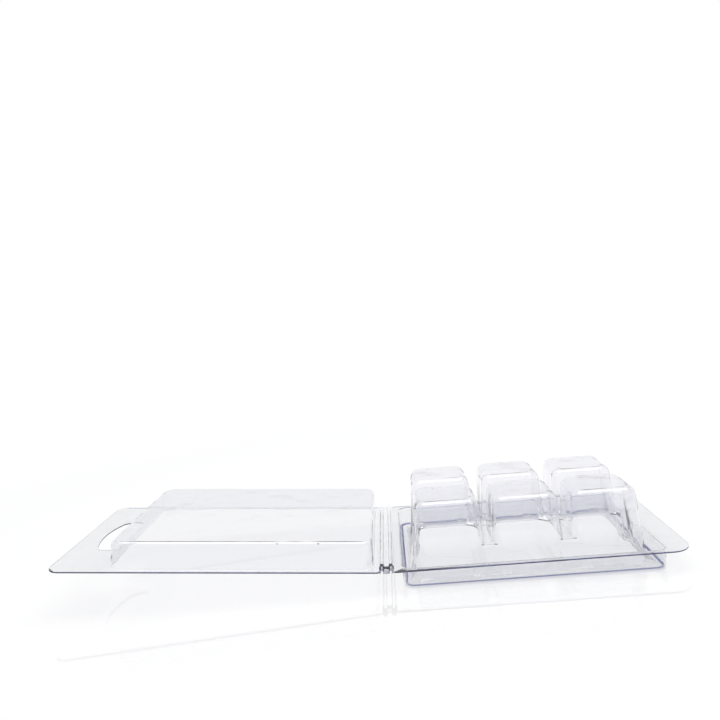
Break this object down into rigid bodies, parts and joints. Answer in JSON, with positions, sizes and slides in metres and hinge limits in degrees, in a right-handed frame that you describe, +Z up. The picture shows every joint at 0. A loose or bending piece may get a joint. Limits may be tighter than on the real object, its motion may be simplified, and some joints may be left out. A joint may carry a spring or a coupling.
{
  "type": "plastic clamshell pack",
  "caption": "Clear thermoformed clamshell pack lying open: a tray of square tapered cavities with a push-in plug, and a shallow domed lid with a hang tab, joined by a fold strip.",
  "frame": {"origin": "middle of the footprint, on the surface that the tray's plug crest stands on", "axes": "+X from the hang tab towards the tray's far end, +Y towards the back edge, +Z up"},
  "size_m": [0.234, 0.073, 0.0277],
  "materials": {
    "clear_pet": "clear glossy thermoformed sheet"
  },
  "bodies": {
    "base": {"base_tray": "clear_pet", "hinge_strip": "clear_pet"},
    "lid": {"lid": "clear_pet"}
  },
  "joints": [
    {"name": "lid_hinge", "type": "hinge", "parent": "base", "child": "lid", "pos_m": [0.00732, 0, 0.00675], "axis": [0, -1, 0], "range_deg": [0, 184.3]}
  ]
}
